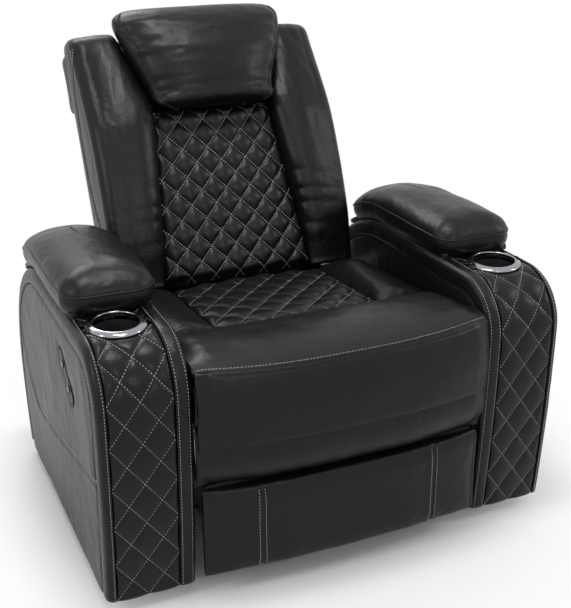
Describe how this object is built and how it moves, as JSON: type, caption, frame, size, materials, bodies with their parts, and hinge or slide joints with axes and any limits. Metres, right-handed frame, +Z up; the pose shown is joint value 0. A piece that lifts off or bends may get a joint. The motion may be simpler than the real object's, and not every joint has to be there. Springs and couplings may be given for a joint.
{
  "type": "glider recliner",
  "caption": "Upholstered power glider recliner in black quilted leather look, with cup holders and storage under the arm pads.",
  "frame": {"origin": "on the floor, in the middle of the chair's overall box", "axes": "+Z up, -Y towards the front of the chair, +X to the right of somebody who faces the chair"},
  "size_m": [0.9984, 1.0088, 1.0257],
  "materials": {
    "upholstery": "satin",
    "quilted_upholstery": "satin",
    "dust_cloth": "matte",
    "board": "matte",
    "webbing": "matte",
    "black_steel": "satin",
    "zinc_steel": "satin",
    "chrome_trim": "polished",
    "black_plastic": "matte",
    "gloss_button": "gloss",
    "floor_rubber": "matte"
  },
  "bodies": {
    "base": {"base_frame": "black_steel", "base_floor_pads": "floor_rubber", "base_brackets": "black_steel"},
    "front_links": {"swing_links_front": "zinc_steel"},
    "rear_links": {"swing_links_rear": "zinc_steel"},
    "chassis": {"hanger_rails": "black_steel", "chassis_beams": "black_steel", "power_inlet": "black_plastic", "slide_channels": "zinc_steel", "control_panel": "black_plastic", "arm_frame_left": "board", "arm_frame_right": "board", "arm_outer_panel_left": "upholstery", "arm_outer_panel_right": "upholstery", "arm_inner_panel_left": "upholstery", "arm_inner_panel_right": "upholstery", "arm_outer_band_left": "upholstery", "arm_outer_band_right": "upholstery", "arm_inner_band_left": "upholstery", "arm_inner_band_right": "upholstery", "arm_insert_left": "quilted_upholstery", "arm_insert_right": "quilted_upholstery", "arm_rear_cover_left": "upholstery", "arm_rear_cover_right": "upholstery", "cup_ring_left": "chrome_trim", "cup_ring_right": "chrome_trim", "cup_well_left": "black_plastic", "cup_well_right": "black_plastic", "storage_tray_left": "black_plastic", "storage_tray_right": "black_plastic", "lid_hinge_left": "zinc_steel", "lid_hinge_right": "zinc_steel"},
    "seat": {"seat_frame": "board", "seat_webbing": "webbing", "seat_side_plates": "black_steel", "slide_bars": "zinc_steel", "seat_quilt": "quilted_upholstery", "seat_gusset_left": "upholstery", "seat_gusset_right": "upholstery", "seat_front_roll": "upholstery", "drive_tube": "black_steel"},
    "back": {"back_frame": "board", "back_quilt": "quilted_upholstery", "back_wing_left": "upholstery", "back_wing_right": "upholstery", "back_rear_cover": "upholstery"},
    "headrest": {"head_board": "board", "head_pillow": "upholstery"},
    "leg_rest": {"leg_frame": "board", "leg_pad": "upholstery"},
    "foot_panel": {"foot_board": "board", "foot_pad": "upholstery"},
    "drive": {"drive_carriage": "zinc_steel"},
    "lid_left": {"arm_lid_left": "board", "arm_pad_left": "upholstery"},
    "lid_right": {"arm_lid_right": "board", "arm_pad_right": "upholstery"},
    "button_upper": {"control_button_upper": "gloss_button"},
    "button_lower": {"control_button_lower": "gloss_button"}
  },
  "joints": [
    {"name": "glide", "type": "hinge", "parent": "base", "child": "front_links", "pos_m": [0, -0.1239, 0.19], "axis": [1, 0, 0], "range_deg": [-12, 12]},
    {"name": "glide_front_carrier", "type": "hinge", "parent": "front_links", "child": "chassis", "pos_m": [0, -0.1239, 0.062], "axis": [1, 0, 0], "range_deg": [-12, 12]},
    {"name": "glide_rear_links", "type": "hinge", "parent": "chassis", "child": "rear_links", "pos_m": [0, 0.1561, 0.062], "axis": [1, 0, 0], "range_deg": [-12, 12]},
    {"name": "seat_slide", "type": "slide", "parent": "chassis", "child": "seat", "axis": [0, -1, 0], "range_m": [0, 0.06]},
    {"name": "recline", "type": "hinge", "parent": "seat", "child": "back", "pos_m": [0, 0.15347, 0.37088], "axis": [-1, 0, 0], "range_deg": [0, 40]},
    {"name": "head_tilt", "type": "hinge", "parent": "back", "child": "headrest", "pos_m": [0, 0.28202, 0.80745], "axis": [1, 0, 0], "range_deg": [0, 28]},
    {"name": "leg_rest_swing", "type": "hinge", "parent": "seat", "child": "leg_rest", "pos_m": [0, -0.4279, 0.415], "axis": [-1, 0, 0], "range_deg": [0, 80]},
    {"name": "foot_panel_slide", "type": "slide", "parent": "leg_rest", "child": "foot_panel", "axis": [0, 0, -1], "range_m": [0, 0.08]},
    {"name": "drive_slide", "type": "slide", "parent": "seat", "child": "drive", "axis": [0, -1, 0], "range_m": [0, 0.0764]},
    {"name": "lid_left_hinge", "type": "hinge", "parent": "chassis", "child": "lid_left", "pos_m": [-0.4025, 0.16897, 0.51003], "axis": [-1, 0, 0], "range_deg": [0, 75]},
    {"name": "lid_right_hinge", "type": "hinge", "parent": "chassis", "child": "lid_right", "pos_m": [0.4025, 0.16897, 0.51003], "axis": [-1, 0, 0], "range_deg": [0, 75]},
    {"name": "press_upper", "type": "slide", "parent": "chassis", "child": "button_upper", "axis": [1, 0, 0], "range_m": [0, 0.002], "stiffness_N_per_m": 300, "springref_m": -0.001},
    {"name": "press_lower", "type": "slide", "parent": "chassis", "child": "button_lower", "axis": [1, 0, 0], "range_m": [0, 0.002], "stiffness_N_per_m": 300, "springref_m": -0.001}
  ],
  "couplings": [
    {"joint": "glide_front_carrier", "follows": "glide", "ratio": -1},
    {"joint": "glide_rear_links", "follows": "glide", "ratio": 1},
    {"joint": "seat_slide", "follows": "recline", "m_per_rad": 0.085943},
    {"joint": "foot_panel_slide", "follows": "leg_rest_swing", "m_per_rad": 0.057296},
    {"joint": "drive_slide", "follows": "leg_rest_swing", "m_per_rad": 0.054647}
  ]
}
